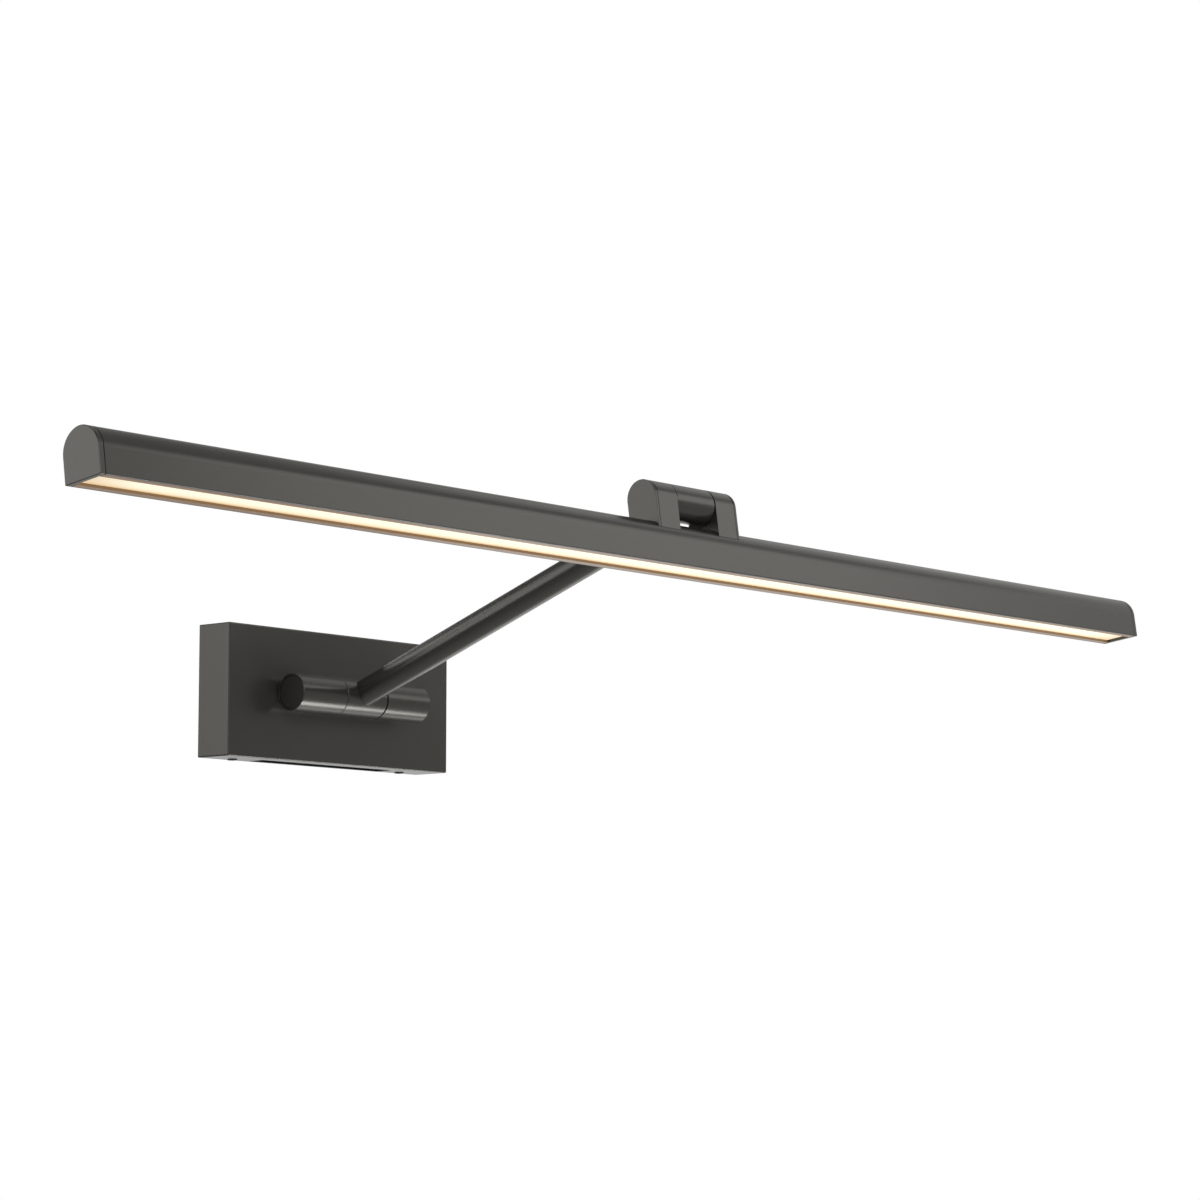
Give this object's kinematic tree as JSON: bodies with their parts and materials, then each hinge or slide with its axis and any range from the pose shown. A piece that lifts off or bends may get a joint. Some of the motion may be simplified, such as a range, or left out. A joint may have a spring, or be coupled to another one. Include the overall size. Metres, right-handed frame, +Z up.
{
  "type": "picture light",
  "caption": "Wall-mounted picture light: a flat canopy carries a tilting arm, which holds a long LED head that tilts on its own hinge.",
  "frame": {"origin": "on the wall plane, midway between the two wall screws", "axes": "+X along the wall and the head, +Y into the wall, +Z up"},
  "size_m": [0.838, 0.2913, 0.135],
  "materials": {
    "bronze_coat": "satin",
    "plated_steel": "satin",
    "black_steel": "satin",
    "green_steel": "satin",
    "black_nylon": "matte",
    "driver_plastic": "matte",
    "circuit_board": "satin",
    "white_board": "satin",
    "ferrite": "matte",
    "capacitor_sleeve": "gloss",
    "terminal_plastic": "satin",
    "wire_jacket": "satin",
    "lead_jacket": "satin",
    "opal_diffuser": "satin",
    "tape": "matte",
    "led_phosphor": "satin"
  },
  "bodies": {
    "wall_unit": {"wall_bracket": "black_steel", "ground_screw": "green_steel", "canopy_cover": "bronze_coat", "cover_screws": "black_steel", "driver_case": "driver_plastic", "driver_lid": "driver_plastic", "driver_board": "circuit_board", "driver_transformer": "ferrite", "driver_capacitors": "capacitor_sleeve", "driver_screws": "plated_steel", "terminal_block": "terminal_plastic", "terminal_screws": "plated_steel", "input_wires": "wire_jacket", "drive_lead": "lead_jacket", "barrel_left": "bronze_coat", "barrel_right": "bronze_coat", "barrel_plugs": "bronze_coat", "barrel_nipples": "plated_steel", "nipple_washers": "plated_steel", "nipple_nuts": "plated_steel", "barrel_spring_washers": "plated_steel", "barrel_friction_washers": "black_nylon"},
    "arm": {"arm_hub": "bronze_coat", "arm_spindles": "plated_steel", "arm_spindle_nuts": "plated_steel", "arm_tube": "bronze_coat", "arm_nipples": "plated_steel", "arm_knuckle": "bronze_coat", "hinge_spindles": "plated_steel", "hinge_spindle_nuts": "plated_steel", "arm_lead": "lead_jacket"},
    "head": {"hinge_ear_left": "bronze_coat", "hinge_ear_right": "bronze_coat", "hinge_cap_left": "bronze_coat", "hinge_cap_right": "bronze_coat", "ear_screws": "plated_steel", "hinge_spring_washers": "plated_steel", "hinge_friction_washers": "black_nylon", "head_housing": "bronze_coat", "end_cap_left": "bronze_coat", "end_cap_right": "bronze_coat", "diffuser": "opal_diffuser", "led_board": "white_board", "thermal_tape": "tape", "led_chips": "led_phosphor", "board_screws": "plated_steel", "board_connector": "terminal_plastic", "head_lead": "lead_jacket"}
  },
  "joints": [
    {"name": "arm_tilt", "type": "hinge", "parent": "wall_unit", "child": "arm", "pos_m": [0, -0.035, 0], "axis": [1, 0, 0], "range_deg": [-55, 70]},
    {"name": "head_tilt", "type": "hinge", "parent": "arm", "child": "head", "pos_m": [0, -0.27447, 0.08763], "axis": [1, 0, 0], "range_deg": [-90, 22]}
  ]
}
